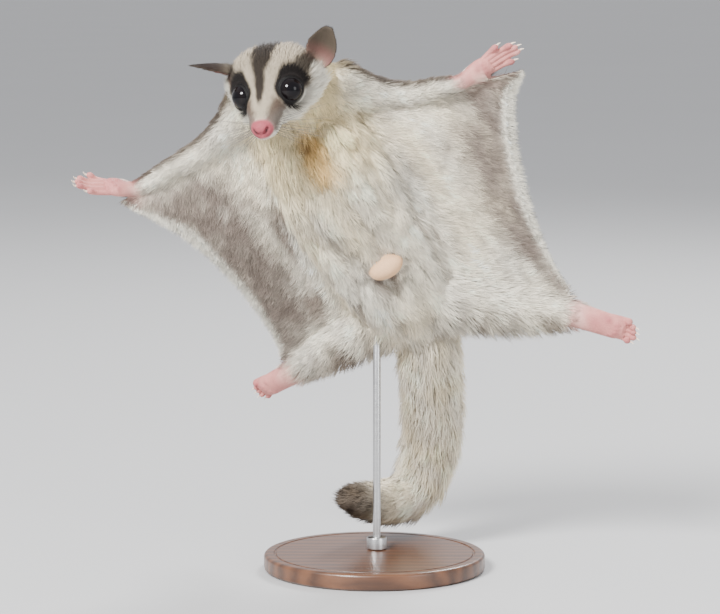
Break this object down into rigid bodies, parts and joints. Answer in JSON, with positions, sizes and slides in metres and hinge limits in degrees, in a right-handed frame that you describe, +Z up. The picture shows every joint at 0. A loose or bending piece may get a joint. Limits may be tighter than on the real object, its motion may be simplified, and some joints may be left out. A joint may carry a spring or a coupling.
{
  "type": "sugar glider",
  "caption": "Life-size still model of a gliding sugar glider, limbs and skin membranes spread, belly forward, held by a rod on a plain round base.",
  "frame": {"origin": "middle of the stand base's flat underside", "axes": "+Z up, the belly and face towards -Y, the animal's left side towards +X"},
  "size_m": [0.2318, 0.1168, 0.2273],
  "materials": {
    "cream_fur": "soft fur",
    "grey_fur": "short dense fur",
    "bare_skin": "soft matt skin",
    "eye": "wet gloss",
    "claw": "horn, satin",
    "stand_wood": "dark satin varnish",
    "stand_steel": "brushed"
  },
  "bodies": {
    "root": {"head": "cream_fur", "ear_left": "grey_fur", "ear_right": "grey_fur", "eye_left": "eye", "eye_right": "eye", "neck": "cream_fur", "trunk": "cream_fur", "scrotum": "bare_skin", "arm_left": "cream_fur", "arm_right": "cream_fur", "hand_left": "bare_skin", "hand_right": "bare_skin", "leg_left": "cream_fur", "leg_right": "cream_fur", "foot_left": "bare_skin", "foot_right": "bare_skin", "membrane_left": "grey_fur", "membrane_right": "grey_fur", "tail_base": "cream_fur", "tail_middle": "cream_fur", "tail_tip": "cream_fur", "stand_base": "stand_wood", "stand_rod": "stand_steel", "stand_collar": "stand_steel"}
  },
  "joints": []
}
